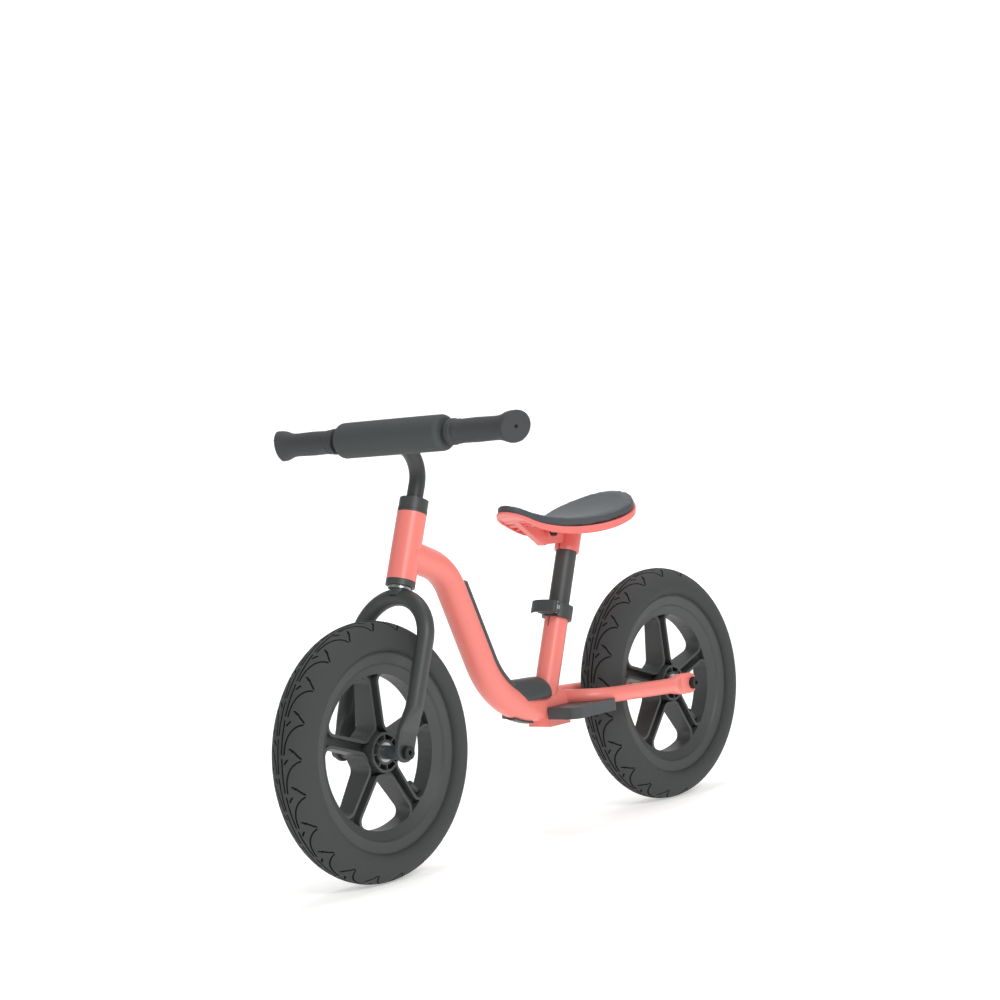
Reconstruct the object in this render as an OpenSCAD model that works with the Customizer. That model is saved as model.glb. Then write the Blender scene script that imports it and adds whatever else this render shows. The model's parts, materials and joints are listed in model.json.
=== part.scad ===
// Child's balance bike with a bent single-tube frame, moulded five-spoke wheels,
// a foam bar pad and a height-adjustable seat.
// +X points forward, +Y to the rider's left and +Z up. The origin lies on the
// ground, midway between the two wheels.

/* [Wheels] */
// Outside diameter of the tyres
wheel_d = 292; // [250:1:350]
// Width of the tyres
tyre_w = 56; // [47:1:60]
// Height of the tyre above the rim's edge
tyre_h = 34; // [30:1:41]
// Thickness of the tyre's wall
tyre_wall = 4; // [3:0.5:5]
// Distance between the two axles
wheelbase = 542; // [490:1:650]
// Number of spokes of a wheel
spokes = 5; // [4:1:6]
// Width of a spoke between its windows
spoke_w = 16; // [13:1:20]
// Thickness of the lip around each window
lip_t = 3.4; // [2.5:0.1:4.2]
// Width of the hub between its end faces
hub_w = 40; // [34:1:42]
// Diameter of the hub's end rings
hub_d = 45; // [40:1:50]
// Outside diameter of the wheel bearings
bearing_d = 22; // [19:1:26]
// Width of a wheel bearing
bearing_w = 7; // [6:0.5:8]
// Diameter of the axle tubes
axle_d = 8; // [7:0.5:9.5]
// Diameter of the axle bolts' heads
bolt_head_d = 15.2; // [13:0.1:18]
// Height of the axle bolts' heads
bolt_head_h = 6; // [5:0.5:7]

/* [Fork] */
// Angle of the steering axis from the vertical
rake = 21.7; // [15:0.1:26]
// Diameter of the fork tube
fork_tube_d = 20; // [17:0.5:24]
// Distance of a fork leg's centre from the middle plane
fork_y = 51; // [49:1:61]
// Gap between the tyre and the fork's crown
crown_gap = 22; // [18:0.5:27]
// Thickness of the flattened ends of the fork and the chainstays
dropout_t = 7; // [6:0.5:8]
// Width of the flattened ends
dropout_w = 28; // [24:1:33]
// Outside diameter of the steerer tube
steerer_d = 22.2; // [21.6:0.1:24]

/* [Head tube] */
// Outside diameter of the head tube
head_d = 34; // [33:0.5:40]
// Length of the head tube
head_l = 79; // [70:1:95]
// Height of the lower headset cup
cup_h = 7; // [6:0.5:8.5]
// Height of the clamp collar on the steerer
collar_h = 12; // [10:0.5:14]

/* [Handlebar] */
// Diameter of the stem tube
stem_d = 19; // [17:0.5:19.2]
// Diameter of the cross bar
bar_d = 20; // [18:0.5:22]
// Height of the bar above the clamp collar, along the steering axis
bar_rise = 59.5; // [55:0.5:71]
// Distance of the bar in front of the steering axis
bar_forward = 49.8; // [45:0.1:60]
// Radius of the stem's bend
stem_bend_r = 36; // [32:1:40]
// Overall width of the handlebar over its grips
bar_w = 380; // [340:1:456]
// Length of a grip along its middle
grip_l = 93; // [78:1:98]
// Diameter of a grip's flared end
flare_d = 36; // [33:1:42]
// Length of the foam pad
pad_l = 159; // [132:1:165]
// Diameter of the foam pad
pad_d = 41.4; // [36:0.1:50]

/* [Frame] */
// Outside diameter of the main tube
main_d = 35; // [30:0.5:38]
// Wall of the frame's tubes
tube_wall = 1.6; // [1.3:0.1:2]
// Height at which the main tube meets the head tube, from the head tube's end
junction_h = 32; // [27:1:39]
// Length of the main tube's stub behind the steering axis
stub_l = 40.7; // [34:0.1:49]
// Angle of the main tube's straight stretch below the horizontal
main_slope = 67.2; // [60:0.1:74]
// Radius of the main tube's upper bend
upper_bend_r = 62; // [52:1:74]
// Radius of the main tube's lower bend
lower_bend_r = 105; // [88:1:126]
// Height of the main tube's low end above the ground
low_z = 153.5; // [135:0.5:175]
// Distance of the seat tube's foot behind the low end of the lower bend
seat_tube_back = 13; // [10:0.5:16]
// Diameter of the seat tube
seat_tube_d = 28.6; // [28.4:0.1:32]
// Length of the seat tube from the main tube's centre line
seat_tube_l = 115; // [105:1:138]
// Diameter of the chainstay tube
stay_d = 19; // [16:0.5:22]
// Distance of a chainstay's centre from the middle plane
stay_y = 51; // [49:1:61]
// Length of the footrest tray
tray_l = 82; // [70:1:95]
// Thickness of the cover strip on the main tube
strip_t = 4; // [3:0.5:5]

/* [Seat] */
// Diameter of the seat post
post_d = 25.4; // [24:0.1:25.4]
// Length of seat post that shows between clamp and seat
post_out = 68; // [56:1:82]
// Depth of the seat post in the seat tube
post_in = 38; // [32:1:42]
// Length of the seat
seat_l = 215; // [180:1:258]
// Width of the seat at its rear
seat_w = 124; // [104:1:148]
// Width of the seat's nose
nose_w = 46; // [39:1:55]
// Thickness of the seat pad
pad_t = 10; // [8:0.5:13]
// Height of the shell's rim
rim_h = 9; // [7.5:0.5:11]

/* [Hidden] */

$fn = 64;
CORAL = "#f5857b";
DARK = "#4a4d4c";
STEEL = "#b9bcbd";
RUBBER = "#3c3e3e";

// Fits: running fits of shafts, gaps between faces that move past each other,
// and the length by which a cutting solid stands past what it cuts
run_gap = 0.05;
face_gap = 0.3;
past = 1;
// Loss of radius in a tube's bends, and the length by which its straight stretches reach into them
bend_thin = 0.1;
reach = 0.5;

// Wheels
wheel_r = wheel_d / 2;
rim_r = wheel_r - tyre_h;
front_x = wheelbase / 2;
rear_x = -wheelbase / 2;
bead_w = 9;
tyre_fold_r = 7.5;
crown_r = rim_r + tyre_fold_r;
tube_gap = 0.5;
window_r = rim_r - 25;
crease_r = rim_r - 13;
well_r = rim_r - 15;
rim_half_w = tyre_w / 2 - tyre_fold_r;
web_half_t = 2.5;
hub_r = hub_d / 2;
boss_r = 14;
slot_r = hub_r - 2.9;
slot_depth = 8;
hub_ribs = 8;
valve_angle = -140;
valve_r = 3;
valve_tip_r = window_r - 17;

// Axles and dropouts
dropout_in = fork_y - 8;
plate_l = 24;
flat_end_l = 50;
spacer_r = 7.8;
bolt_shank_r = 3;
bolt_shank_l = 20;
socket_r = 2.6;

// Fork, as distances along the steering axis from the front axle
fork_r = fork_tube_d / 2;
crown_s = wheel_r + crown_gap - (fork_y - fork_r);
crown_top_s = crown_s + fork_y + fork_r;
steerer_s = crown_top_s - fork_r;
race_h = 3;
lower_cup_s = crown_top_s + 2;
head_s = lower_cup_s + cup_h;
head_top_s = head_s + head_l;
upper_cup_h = 3;
top_ring_s = head_top_s + upper_cup_h + face_gap;
top_ring_h = 1.6;
collar_s = top_ring_s + top_ring_h;
collar_top_s = collar_s + collar_h;
ear_turn = 40;
head_r = head_d / 2;
head_bore_r = head_r - 2;
steerer_r = steerer_d / 2;
stem_r = stem_d / 2;
bearing_h = 6;
skirt_h = 10;
stem_in = 68;
bar_s = collar_top_s + bar_rise;
stem_turn = 75;
stem_tail = (bar_forward - stem_bend_r * (1 - cos(stem_turn))) / sin(stem_turn);
stem_bend_s = bar_s - stem_bend_r * sin(stem_turn) - stem_tail * cos(stem_turn);
bar_r = bar_d / 2;
grip_r = 13.5;
grip_end = 10;
flare_tilt = 8;
flare_yaw = 20;

// Main tube, whose centre line is followed from the head tube to its low end
main_r = main_d / 2;
front_axle_at = [front_x, 0, wheel_r];
steer_dir = [-sin(rake), 0, cos(rake)];
junction = front_axle_at + steer_dir * (head_s + junction_h);
bend_drop = stub_l * sin(rake) + upper_bend_r * (cos(rake) - cos(main_slope))
    + lower_bend_r * (1 - cos(main_slope));
straight_l = (junction[2] - bend_drop - low_z) / sin(main_slope);
low_x = junction[0] - stub_l * cos(rake) - upper_bend_r * (sin(main_slope) - sin(rake))
    - straight_l * cos(main_slope) - lower_bend_r * sin(main_slope);
seat_base = [low_x - seat_tube_back, 0, low_z];
tail_l = seat_tube_back + seat_tube_d / 2 + 12;
tail_x = low_x - tail_l;
main_run = [[stub_l], [upper_bend_r, main_slope - rake, -1], [straight_l],
    [lower_bend_r, main_slope, 1], [tail_l]];
stem_run = [[stem_bend_s - collar_top_s + stem_in], [stem_bend_r, stem_turn, 1], [stem_tail]];

// Seat tube, whose axis is parallel to the steering axis
seat_tube_r = seat_tube_d / 2;
post_r = post_d / 2;
clamp_h = 17;
clamp_r = seat_tube_r + 4;
clamp_s = seat_tube_l - 9;
clamp_top_s = clamp_s + clamp_h;
ear_x = clamp_r + 9;
ear_y = 8;
pin_x = clamp_r + 5;
pin_y = ear_y + 9;
lever_h = 15;

// Chainstays, in a frame at the rear axle whose x axis runs along them
stay_r = stay_d / 2;
stay_front_x = tail_x - stay_r + 4;
stay_front_z = low_z + 4;
stay_rise = atan((stay_front_z - wheel_r) / (stay_front_x - rear_x));
stay_run = (stay_front_x - rear_x) / cos(stay_rise);
stay_bend_x = stay_run - stay_y;

// Footrest tray and bracket
bracket_w = 34;
bracket_x = low_x - 2;
bracket_l = 38;
bracket_h = 8;
tray_x = bracket_x + 5;
tray_z = low_z - 15.5;
tray_h = 14;
tray_wall = 3;
tray_half_w = stay_y + stay_r + 1;
notch_l = tray_x - bracket_x + bracket_l + face_gap;
notch_half_w = max(main_r, bracket_w / 2) + 0.5;
strip_angle = 33;
clip_angle = 16;
clip_t = 2.4;

// Seat, whose upper face is a hollow cylinder face across the bike
socket_s = clamp_top_s + post_out;
socket_h = 30;
socket_wall = 2.6;
post_top = seat_base + steer_dir * (socket_s + socket_h);
seat_sag = 28;
seat_curve_r = sag_radius(seat_sag);
seat_mid_x = post_top[0] + 17;
nose_x = seat_mid_x + seat_l / 2;
shell_t = 3;
seat_top_z = post_top[2] + shell_t;
rim_tip = 2;
under_sag = seat_sag + rim_h - rim_tip;
under_r = sag_radius(under_sag);
keel_t = 9;
keel_lobe = [nose_x - 68, seat_top_z - 11];
pinch_x = 46;
pinch_s = socket_s + 11;
pinch_r = 6;
pinch_w = 24;

// Points on an arc in the plane, from angle a0 to a1
function arc(c, rx, ry, a0, a1, n = 12) =
    [for (i = [0:n]) let (a = a0 + (a1 - a0) * i / n) [c[0] + rx * cos(a), c[1] + ry * sin(a)]];
// Radius of the arc over the seat's length that sags by s in its middle
function sag_radius(s) = (pow(seat_l / 2, 2) + s * s) / (2 * s);
function smooth(t) = let (u = min(1, max(0, t))) u * u * (3 - 2 * u);

// Frames of reference
module at_front_axle() translate(front_axle_at) children();
module at_rear_axle() translate([rear_x, 0, wheel_r]) children();
module on_steering_axis() at_front_axle() rotate([0, -rake, 0]) children();
module on_seat_axis() translate(seat_base) rotate([0, -rake, 0]) children();
module on_stays() at_rear_axle() rotate([0, -stay_rise, 0]) children();
module on_main_run() translate(junction) rotate([0, -90 - rake, 0]) children();
module both_sides() {
    children();
    mirror([0, 1, 0]) children();
}
module across() rotate([90, 0, 0]) children();

module ring(r_out, r_in, h) {
    difference() {
        cylinder(r = r_out, h = h);
        translate([0, 0, -past]) cylinder(r = r_in, h = h + 2 * past);
    }
}

// A bent tube is a run of stretches that starts at the origin and goes up z. A stretch is
// [length] or, for a bend towards +X (side 1) or -X (side -1), [radius, angle, side].
module bend(b) {
    translate([b[2] * b[0], 0, 0]) rotate([90, 0, b[2] > 0 ? 180 : 0])
        rotate_extrude(angle = b[1]) translate([b[0], 0]) scale([-b[2], 1]) children();
}

module past_bend(b) {
    translate([b[2] * b[0], 0, 0]) rotate([0, b[2] * b[1], 0]) translate([-b[2] * b[0], 0, 0]) children();
}

// Moves its children to the end of the first n stretches
module follow(run, n, i = 0) {
    if (i == n) children();
    else if (len(run[i]) == 1) translate([0, 0, run[i][0]]) follow(run, n, i + 1) children();
    else past_bend(run[i]) follow(run, n, i + 1) children();
}

// A tube is a little thinner in its bends, where the straight stretches reach into it
module tube_run(run, r) {
    last = len(run) - 1;
    for (i = [0:last]) follow(run, i)
        if (len(run[i]) == 1) translate([0, 0, i == 0 ? 0 : -reach])
            cylinder(r = r, h = run[i][0] + (i == 0 || i == last ? 1 : 2) * reach);
        else bend(run[i]) circle(r - bend_thin);
}

// Part of a tube's wall, outside radius r and inside radius r - t, within the half angle a
module shell_section(r, t, a) {
    polygon(concat(arc([0, 0], r, r, -a, a, 16), arc([0, 0], r - t, r - t, a, -a, 16)));
}

// ---------------------------------------------------------------- frame

module head_tube() color(CORAL) on_steering_axis() translate([0, 0, head_s])
    difference() {
        cylinder(r = head_r, h = head_l);
        translate([0, 0, -past]) cylinder(r = head_bore_r, h = head_l + 2 * past);
    }

module main_solid(r) on_main_run() tube_run(main_run, r);

module main_tube() color(CORAL)
    difference() {
        main_solid(main_r);
        main_solid(main_r - tube_wall);
        on_steering_axis() translate([0, 0, head_s - head_l])
            cylinder(r = head_r, h = 3 * head_l);
        on_stays() stay_path(stay_r);
    }

module seat_tube() color(CORAL)
    difference() {
        on_seat_axis() cylinder(r = seat_tube_r, h = seat_tube_l);
        on_seat_axis() cylinder(r = post_r + run_gap, h = seat_tube_l + past);
        main_solid(main_r);
        // Relief slot that lets the clamp close the tube
        on_seat_axis() translate([0, -1, clamp_s - 12]) cube([seat_tube_d, 2, clamp_h + 12]);
    }

// Round part of the chainstays: two straight arms and the bend that joins them
module stay_path(r) {
    both_sides() translate([flat_end_l, stay_y, 0]) rotate([0, 90, 0])
        cylinder(r = r, h = stay_bend_x - flat_end_l);
    translate([stay_bend_x, 0, 0]) rotate([0, 0, -90])
        rotate_extrude(angle = 180) translate([stay_y, 0]) circle(r);
}
// Flattened tube end round an axle bolt, with the tube going up along z
module dropout(tube_r, tube_y, width = dropout_w) {
    end_drop = 3;
    translate([0, dropout_in + dropout_t, 0]) across() difference() {
        union() {
            translate([0, end_drop]) cylinder(r = width / 2, h = dropout_t);
            translate([-width / 2, end_drop, 0]) cube([width, plate_l - end_drop, dropout_t]);
        }
        translate([0, 0, -past]) cylinder(r = bolt_shank_r + 0.2, h = dropout_t + 2 * past);
    }
    hull() {
        translate([-width / 2, dropout_in, plate_l - 0.01]) cube([width, dropout_t, 0.01]);
        translate([0, tube_y, flat_end_l]) cylinder(r = tube_r, h = 0.01, $fn = 32);
    }
}

module chainstays() color(CORAL) on_stays() {
    difference() {
        stay_path(stay_r);
        stay_path(stay_r - tube_wall);
        rotate([0, stay_rise, 0]) translate([-rear_x, 0, -wheel_r])
            at_tray_screws() cylinder(r = 2.2, h = tray_h);
    }
    both_sides() rotate([0, 90, 0]) dropout(stay_r, stay_y, dropout_w - 2);
}

module frame_bracket() color(CORAL)
    difference() {
        translate([bracket_x - bracket_l, -bracket_w / 2, low_z - main_r - bracket_h])
            cube([bracket_l, bracket_w, main_r + bracket_h]);
        main_solid(main_r);
        on_stays() stay_path(stay_r);
        translate([bracket_x - bracket_l - past, -bracket_w / 2 + 3, low_z - main_r - bracket_h - past])
            cube([bracket_l - 3 + past, bracket_w - 6, bracket_h - 3 + past]);
    }

module lower_cup() color(DARK) on_steering_axis() translate([0, 0, lower_cup_s])
    difference() {
        union() {
            cylinder(r = head_r, h = cup_h);
            cylinder(r = head_bore_r, h = cup_h + skirt_h);
        }
        translate([0, 0, -past]) cylinder(r = head_bore_r - 1.2, h = cup_h + skirt_h + 2 * past);
    }

module upper_cup() color(DARK) on_steering_axis() translate([0, 0, head_top_s])
    difference() {
        union() {
            cylinder(r = head_r, h = upper_cup_h);
            translate([0, 0, -skirt_h]) cylinder(r = head_bore_r, h = skirt_h + past);
        }
        translate([0, 0, -skirt_h - past])
            cylinder(r = head_bore_r - 1.2, h = skirt_h + upper_cup_h + 2 * past);
    }

module headset_bearing() ring(head_bore_r - 1.2, steerer_r + run_gap, bearing_h);

module lower_bearing() color(STEEL) on_steering_axis()
    translate([0, 0, lower_cup_s + 4]) headset_bearing();

module upper_bearing() color(STEEL) on_steering_axis()
    translate([0, 0, head_top_s + upper_cup_h - bearing_h - 1]) headset_bearing();

// Moulded strip that covers the upper side of the main tube
module cover_strip() color(DARK)
    difference() {
        on_main_run() {
            follow(main_run, 2) linear_extrude(straight_l) shell_section(main_r + strip_t, strip_t, 36);
            follow(main_run, 3) bend([lower_bend_r, strip_angle, 1])
                shell_section(main_r + strip_t, strip_t, 36);
        }
        saddle_cover_form();
    }

// Solid form of the saddle-shaped cover, before the tubes are cut out of it
module saddle_cover_form() {
    hull() {
        translate([low_x + 3, 0, low_z + main_r - 3]) sphere(r = main_r + 4, $fn = 32);
        translate([low_x + 30, 0, low_z + main_r - 5]) sphere(r = main_r + 1, $fn = 32);
        translate([low_x + 58, 0, low_z + main_r + 12]) sphere(r = 9, $fn = 32);
    }
}

module saddle_cover() color(DARK)
    difference() {
        saddle_cover_form();
        main_solid(main_r);
        on_seat_axis() cylinder(r = seat_tube_r, h = seat_tube_l);
        translate([low_x - main_d, -main_d, low_z - main_d])
            cube([4 * main_d, 2 * main_d, main_d + 11]);
        // Finger slot at the front of the dome
        translate([low_x + 26, 0, low_z + main_r + 12]) rotate([0, 60, 0])
            linear_extrude(16, center = true) {
                translate([0, -6]) circle(2.2);
                translate([0, 6]) circle(2.2);
                square([4.4, 12], center = true);
            }
    }

module cover_clip() color(DARK) on_main_run() follow(main_run, 3)
    past_bend([lower_bend_r, main_slope - clip_angle - 8, 1]) bend([lower_bend_r, clip_angle, 1])
        mirror([1, 0]) shell_section(main_r + clip_t, clip_t, 20);

// Places its children under the chainstays, at the tray's screws
module at_tray_screws() both_sides() translate([tray_x - tray_l / 2, stay_y, tray_z]) children();

module tray_outline(inset) {
    hull() both_sides() {
        translate([8, tray_half_w - 8]) circle(8 - inset);
        translate([tray_l - 14, tray_half_w - 14]) circle(14 - inset);
    }
}

// Footrest between and below the chainstays, a tray that is open downwards
module footrest_tray() color(DARK)
    difference() {
        translate([tray_x - tray_l, 0, tray_z]) difference() {
            linear_extrude(tray_h) difference() {
                tray_outline(0);
                // Room for the bracket and the end of the main tube
                translate([tray_l - notch_l, -notch_half_w])
                    square([notch_l + past, 2 * notch_half_w]);
            }
            translate([0, 0, -past]) linear_extrude(tray_h - tray_wall + past) difference() {
                tray_outline(tray_wall);
                translate([tray_l - notch_l - tray_wall, -notch_half_w - tray_wall])
                    square([notch_l + tray_wall, 2 * (notch_half_w + tray_wall)]);
                for (rib = [-1:1]) translate([0, rib * 26 - 1.2]) square([tray_l, 2.4]);
                both_sides() translate([0, stay_y - stay_r]) square([tray_l, 2 * stay_r]);
            }
        }
        on_stays() stay_path(stay_r);
        main_solid(main_r);
        at_tray_screws() tray_screw(past);
    }

module tray_screw(sunk) {
    translate([0, 0, -sunk]) cylinder(r = 4.5, h = 3 + sunk);
    cylinder(r = 2.2, h = tray_h);
}

module tray_screws() color(STEEL)
    difference() {
        at_tray_screws() tray_screw(0);
        at_tray_screws() translate([0, 0, -past]) cylinder(r = 1.6, h = 2 + past);
    }

module seat_clamp() color(DARK) on_seat_axis() translate([0, 0, clamp_s])
    difference() {
        union() {
            cylinder(r = clamp_r, h = clamp_h);
            translate([0, -ear_y, 1]) cube([ear_x, 2 * ear_y, clamp_h - 2]);
        }
        translate([0, 0, -past]) cylinder(r = seat_tube_r, h = clamp_h - 8 + past);
        cylinder(r = post_r + run_gap, h = clamp_h + past);
        translate([0, -1, -past]) cube([ear_x + past, 2, clamp_h + 2 * past]);
        translate([pin_x, 0, clamp_h / 2]) across()
            cylinder(r = 2.6, h = 3 * ear_y, center = true);
    }

// Bolt through the clamp's ears, with the eye that holds the lever's pin
module clamp_bolt() color(STEEL) on_seat_axis() translate([pin_x, 0, clamp_s + clamp_h / 2])
    difference() {
        union() {
            translate([0, -ear_y - 5, 0]) rotate([-90, 0, 0])
                cylinder(r = 2.5, h = ear_y + 5 + pin_y);
            translate([0, pin_y, 0]) cylinder(r = 4, h = 5, center = true);
        }
        translate([0, pin_y, 0]) cylinder(r = 1.8, h = 6, center = true);
    }

module clamp_nut() color(STEEL) on_seat_axis() translate([pin_x, -ear_y, clamp_s + clamp_h / 2])
    across() ring(4.2, 2.5, 5);

module lever_pin() color(STEEL) on_seat_axis() translate([pin_x, pin_y, clamp_s + clamp_h / 2])
    cylinder(r = 1.8, h = lever_h - 1, center = true);

// Leaf-shaped lever that wraps across the front of the clamp when it is closed
module clamp_lever() color(DARK) on_seat_axis() translate([pin_x, pin_y, clamp_s + clamp_h / 2])
    difference() {
        union() {
            cylinder(r = 5, h = lever_h - 3, center = true);
            intersection() {
                translate([0, 0, -lever_h / 2]) linear_extrude(lever_h)
                    polygon(concat([[0, -5], [3, 0]], arc([0, -16], 9.5, 22, 50, -90, 10),
                        arc([0, -16], 6.5, 20, -90, 20, 10)));
                translate([0, -17, 0]) rotate([0, 90, 0])
                    cylinder(r = 23, h = 60, center = true);
            }
        }
        cylinder(r = 1.8 + run_gap, h = lever_h + 2, center = true);
        cylinder(r = 4 + face_gap, h = 5 + 2 * face_gap, center = true);
        translate([-6, -10, -2.6 - face_gap]) cube([6 + 2.6 + face_gap, 16, 5.2 + 2 * face_gap]);
    }

// ---------------------------------------------------------------- fork

module fork_path(r) {
    both_sides() translate([0, fork_y, flat_end_l]) cylinder(r = r, h = crown_s - flat_end_l);
    translate([0, 0, crown_s]) rotate([90, 0, 90])
        rotate_extrude(angle = 180) translate([fork_y, 0]) circle(r);
}

module fork_tube() color(DARK) on_steering_axis() {
    difference() {
        fork_path(fork_r);
        fork_path(fork_r - tube_wall);
        translate([0, 0, steerer_s]) cylinder(r = steerer_r, h = fork_tube_d);
    }
    both_sides() dropout(fork_r, fork_y);
}

module steerer() color(DARK) on_steering_axis()
    translate([0, 0, steerer_s]) ring(steerer_r, stem_r + run_gap, collar_top_s - steerer_s);

module crown_race() color(STEEL) on_steering_axis()
    difference() {
        translate([0, 0, crown_top_s - 1.4]) ring(steerer_r + 2.4, steerer_r, race_h);
        fork_path(fork_r);
    }

module top_ring() color(DARK) on_steering_axis() translate([0, 0, top_ring_s])
    ring(head_r, steerer_r, top_ring_h);

module stem_clamp() color(DARK) on_steering_axis() translate([0, 0, collar_s]) rotate([0, 0, ear_turn])
    difference() {
        union() {
            cylinder(r = head_r - 0.4, h = collar_h);
            translate([-head_r - 7, -8, 1]) cube([head_r + 7, 16, collar_h - 2]);
        }
        translate([0, 0, -past]) cylinder(r = steerer_r, h = collar_h + 2 * past);
        translate([-head_r - 8, -1, -past]) cube([head_r + 8, 2, collar_h + 2 * past]);
        translate([-head_r - 2, 0, collar_h / 2]) across() cylinder(r = 2.5, h = 40, center = true);
    }

module stem_clamp_bolt() color(STEEL) on_steering_axis() rotate([0, 0, ear_turn])
    translate([-head_r - 2, -8, collar_s + collar_h / 2]) rotate([-90, 0, 0])
        difference() {
            union() {
                cylinder(r = 2.5, h = 19);
                translate([0, 0, 16]) cylinder(r = 4.2, h = 4);
                translate([0, 0, -3]) cylinder(r = 4.2, h = 3);
            }
            translate([0, 0, 18]) cylinder(r = 1.8, h = 3);
        }

// ---------------------------------------------------------------- handlebar

module stem_solid(r) translate([0, 0, collar_top_s - stem_in]) tube_run(stem_run, r);

module stem_tube() color(DARK) on_steering_axis()
    difference() {
        stem_solid(stem_r);
        stem_solid(stem_r - tube_wall);
        translate([bar_forward, 0, bar_s]) across() cylinder(r = bar_r, h = pad_l, center = true);
    }

module cross_bar() color(DARK) on_steering_axis() translate([bar_forward, 0, bar_s])
    across() translate([0, 0, -bar_w / 2 + 40]) ring(bar_r, bar_r - tube_wall, bar_w - 80);

// Foam pad, slit along its lower rear side so that it clips over the bar and the stem
module bar_pad() color(DARK) on_steering_axis()
    difference() {
        translate([bar_forward, 0, bar_s]) across() difference() {
            cylinder(r = pad_d / 2, h = pad_l, center = true);
            cylinder(r = bar_r, h = pad_l + 2 * past, center = true);
            rotate([0, 0, 180 - (90 - stem_turn)]) translate([0, -0.6, -pad_l])
                cube([pad_d, 1.2, 2 * pad_l]);
        }
        stem_solid(stem_r + 0.4);
    }

// Grip with an inner collar and a flared end that is cut on the slant
module grip() {
    inner_y = bar_w / 2 - grip_end - grip_l;
    difference() {
        rotate([-90, 0, 0]) translate([0, 0, inner_y]) rotate_extrude()
            polygon([[0, 0], [grip_r + 1.5, 0], [grip_r + 1.5, 4], [grip_r, 6], [grip_r, grip_l - 24],
                [grip_r + 2, grip_l - 16], [flare_d / 2 - 1, grip_l - 8], [flare_d / 2, grip_l - 3],
                [flare_d / 2, grip_l + 30], [0, grip_l + 30]]);
        rotate([-90, 0, 0]) cylinder(r = bar_r, h = bar_w / 2 - 40);
        rotate([-90, 0, 0]) cylinder(r = 2.2, h = bar_w);
        rotate([0, rake, 0]) translate([0, bar_w / 2 - grip_end, 0]) rotate([-flare_tilt, 0, -flare_yaw])
            translate([-50, 0, -50]) cube([100, 60, 100]);
    }
}

module grip_left() color(RUBBER) on_steering_axis() translate([bar_forward, 0, bar_s]) grip();

module grip_right() color(RUBBER) on_steering_axis() translate([bar_forward, 0, bar_s])
    mirror([0, 1, 0]) grip();

// ---------------------------------------------------------------- seat

// Half width of the seat at distance t * seat_l behind its nose
function seat_half_w(t) =
    let (body = nose_w / 2 + (seat_w - nose_w) / 2 * smooth((t - 0.12) / 0.68))
    let (nose_cap = sqrt(max(0, 1 - pow(max(0, 1 - t * seat_l / (nose_w / 2)), 2))))
    let (rear_cap = sqrt(max(0, 1 - pow(max(0, 1 - (1 - t) * seat_l / (seat_w * 0.4)), 2))))
    body * nose_cap * rear_cap;

seat_steps = 36;
seat_side = [for (i = [0:seat_steps]) let (t = (1 - cos(180 * i / seat_steps)) / 2)
    [-t * seat_l, seat_half_w(t)]];

module seat_outline(inset = 0) {
    translate([nose_x, 0]) offset(delta = -inset)
        polygon(concat(seat_side, [for (i = [seat_steps - 1:-1:1]) [seat_side[i][0], -seat_side[i][1]]]));
}

// Cylinder across the bike whose lowest line lies at depth d below the seat's upper face
module seat_curve(r, d) {
    translate([seat_mid_x, 0, seat_top_z - d + r]) across()
        cylinder(r = r, h = 3 * seat_w, center = true, $fn = 128);
}

module seat_prism(inset) {
    translate([0, 0, seat_top_z - 60]) linear_extrude(120) seat_outline(inset);
}

module seat_pad() color(RUBBER)
    intersection() {
        seat_prism(2);
        difference() {
            seat_curve(seat_curve_r, 0);
            seat_curve(seat_curve_r - pad_t, -pad_t);
        }
    }

module seat_rib(x0, y0, x1, y1, w = 2) {
    a = atan2(y1 - y0, x1 - x0);
    translate([nose_x + x0, y0, seat_top_z - 40]) rotate([0, 0, a]) translate([0, -w / 2, 0])
        cube([norm([x1 - x0, y1 - y0]), w, 80]);
}

module seat_ribs() {
    for (side = [-1, 1]) {
        seat_rib(-18, 0, -60, side * seat_w);
        seat_rib(-30, 0, -52, side * seat_w);
        for (x = [-40, -75, -110, -150]) {
            seat_rib(x, 0, x - 25, side * seat_w / 2);
            seat_rib(x, 0, x + 20, side * seat_w / 2);
        }
    }
}

// Upright web under the nose, which ends in a round lobe in front of the socket
module seat_keel() {
    across() linear_extrude(keel_t, center = true)
        polygon(concat([[nose_x - 6, seat_top_z + seat_sag - 3]], arc(keel_lobe, 8, 8, -40, -120, 8),
            [[post_top[0] + 16, keel_lobe[1] - 8], [post_top[0], seat_top_z - 1]]));
}

// Room for a bolt's head and nut outside a boss of width w
module head_room(r, w) {
    for (end = [0, 1]) mirror([0, 0, end]) translate([0, 0, w / 2]) cylinder(r = r, h = 7);
}

module seat_shell() color(CORAL)
    difference() {
        union() {
            intersection() {
                seat_prism(0);
                seat_curve(seat_curve_r + shell_t, shell_t);
                seat_curve(under_r, rim_h);
            }
            intersection() {
                difference() {
                    seat_prism(0);
                    seat_prism(2.6);
                }
                seat_curve(under_r, rim_h);
            }
            intersection() {
                seat_ribs();
                seat_prism(1);
                seat_curve(under_r, rim_h - 1);
            }
            seat_keel();
            on_seat_axis() translate([0, 0, socket_s]) cylinder(r = post_r + socket_wall, h = socket_h + 12);
            on_seat_axis() translate([pinch_x, 0, pinch_s]) across()
                cylinder(r = pinch_r, h = pinch_w, center = true);
        }
        seat_curve(seat_curve_r, 0);
        on_seat_axis() translate([0, 0, socket_s - past]) cylinder(r = post_r, h = socket_h - 2 + past);
        on_seat_axis() translate([0, -1, socket_s - past]) cube([pinch_x + 2 * pinch_r, 2, 16]);
        on_seat_axis() translate([pinch_x, 0, pinch_s]) across() {
            cylinder(r = 3, h = pinch_w + 2 * past, center = true);
            head_room(5.5, pinch_w);
        }
    }

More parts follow.
